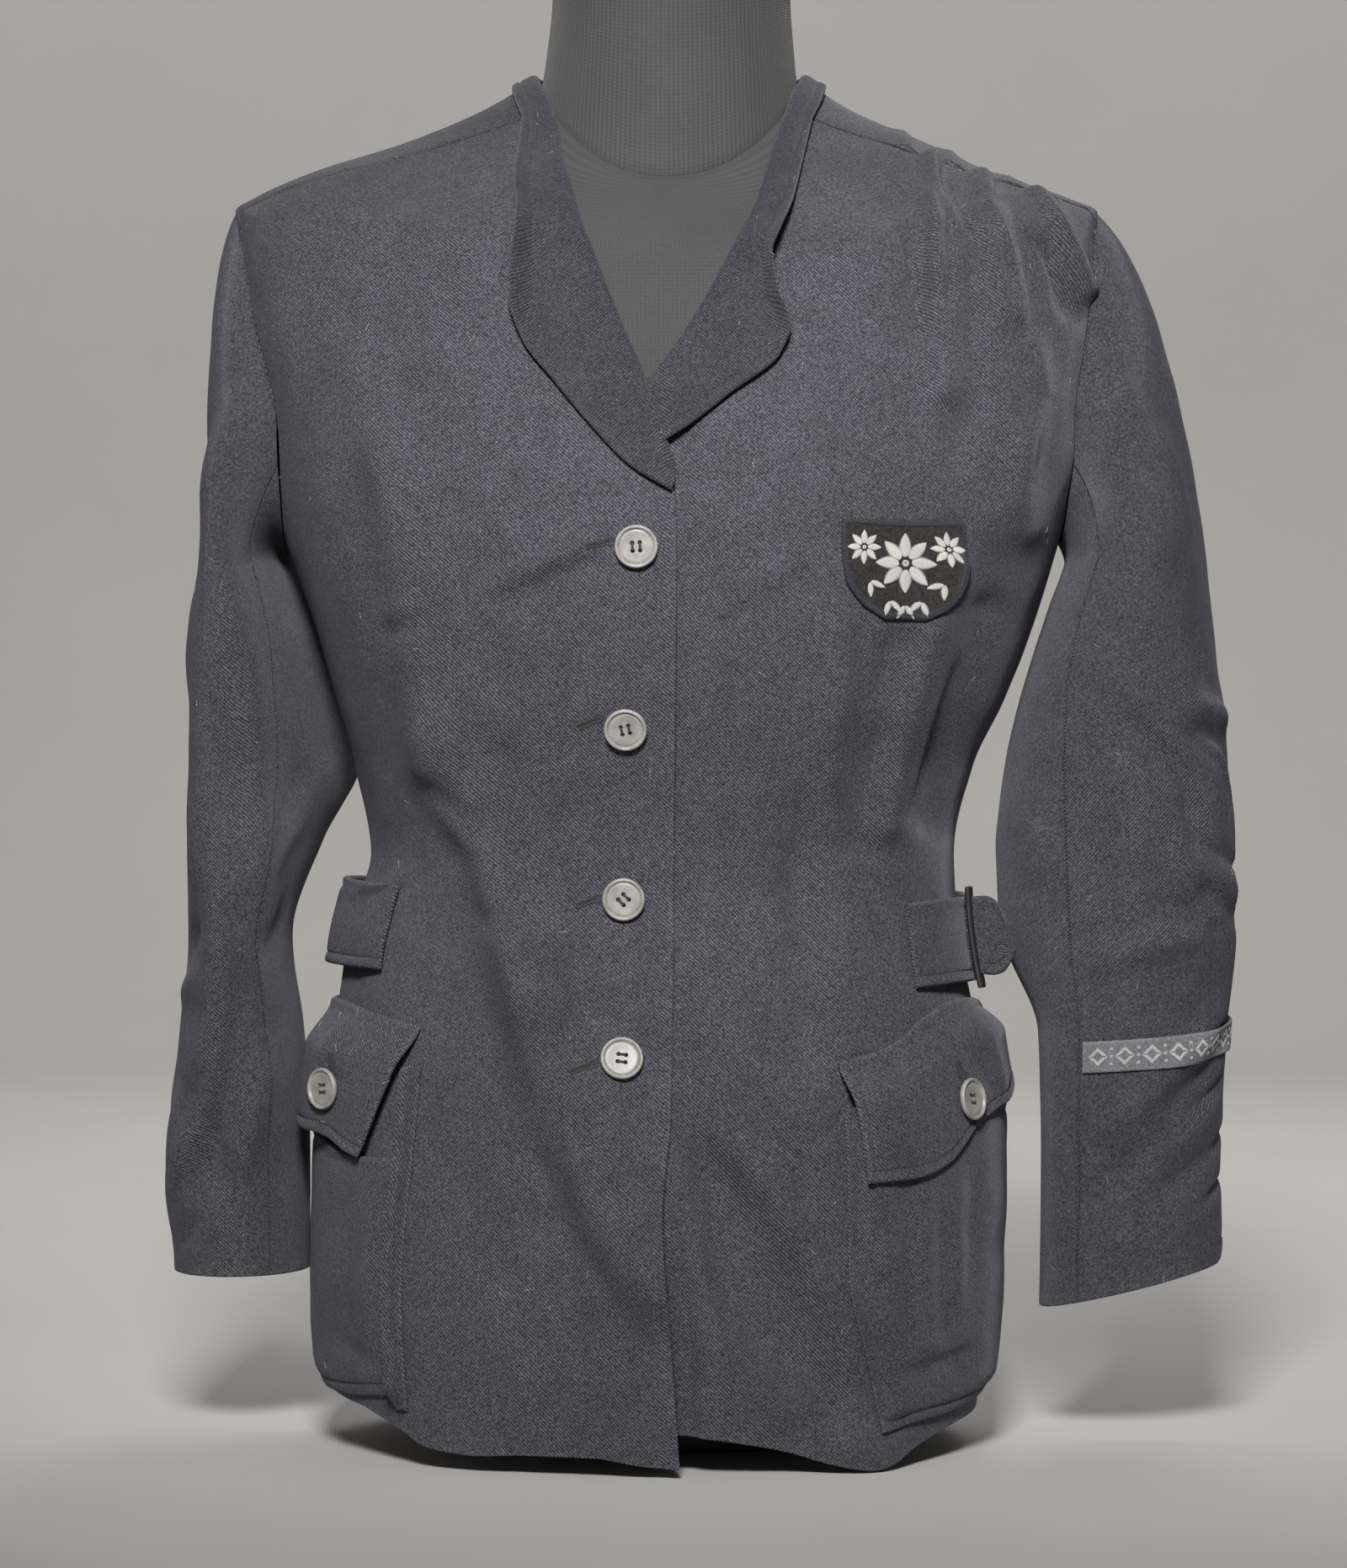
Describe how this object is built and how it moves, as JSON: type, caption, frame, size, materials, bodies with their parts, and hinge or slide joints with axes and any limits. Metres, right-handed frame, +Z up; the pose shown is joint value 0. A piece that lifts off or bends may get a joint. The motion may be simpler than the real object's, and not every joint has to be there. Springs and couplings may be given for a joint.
{
  "type": "uniform jacket on a limbless dress form",
  "caption": "Belted single-breasted uniform jacket with notchless lapels, patch pockets and flaps, resting on the shoulders of a limbless tabletop dress form.",
  "frame": {"origin": "middle of the dress form's plinth, on its underside, which is the surface it stands on", "axes": "+Z up along the neck, -Y the jacket's front, +X the wearer's left"},
  "size_m": [0.519, 0.2544, 0.745],
  "materials": {
    "wool_twill": "matt wool twill",
    "wool_facing": "matt wool twill",
    "belt_wool": "matt wool twill",
    "button_grey": "satin",
    "patch_ground": "embroidered wool",
    "band_weave": "woven ribbon",
    "form_jersey": "ribbed jersey",
    "plinth_wood": "satin"
  },
  "bodies": {
    "root": {"front_right": "wool_twill", "front_left": "wool_twill", "back": "wool_twill", "yoke": "wool_twill", "sleeve_right_upper": "wool_twill", "sleeve_right_under": "wool_twill", "sleeve_left_upper": "wool_twill", "sleeve_left_under": "wool_twill", "pocket_left": "wool_twill", "pocket_right": "wool_twill", "flap_left": "wool_twill", "flap_right": "wool_twill", "lapel_right": "wool_facing", "lapel_left": "wool_facing", "collar_back": "wool_facing", "belt_strap_left": "belt_wool", "belt_long": "belt_wool", "belt_keeper": "belt_wool", "belt_tab": "belt_wool", "button_front_1": "button_grey", "button_front_2": "button_grey", "button_front_3": "button_grey", "button_front_4": "button_grey", "button_pocket_left": "button_grey", "button_pocket_right": "button_grey", "chest_patch": "patch_ground", "cuff_band": "band_weave", "form_torso": "form_jersey", "form_plinth": "plinth_wood"}
  },
  "joints": []
}
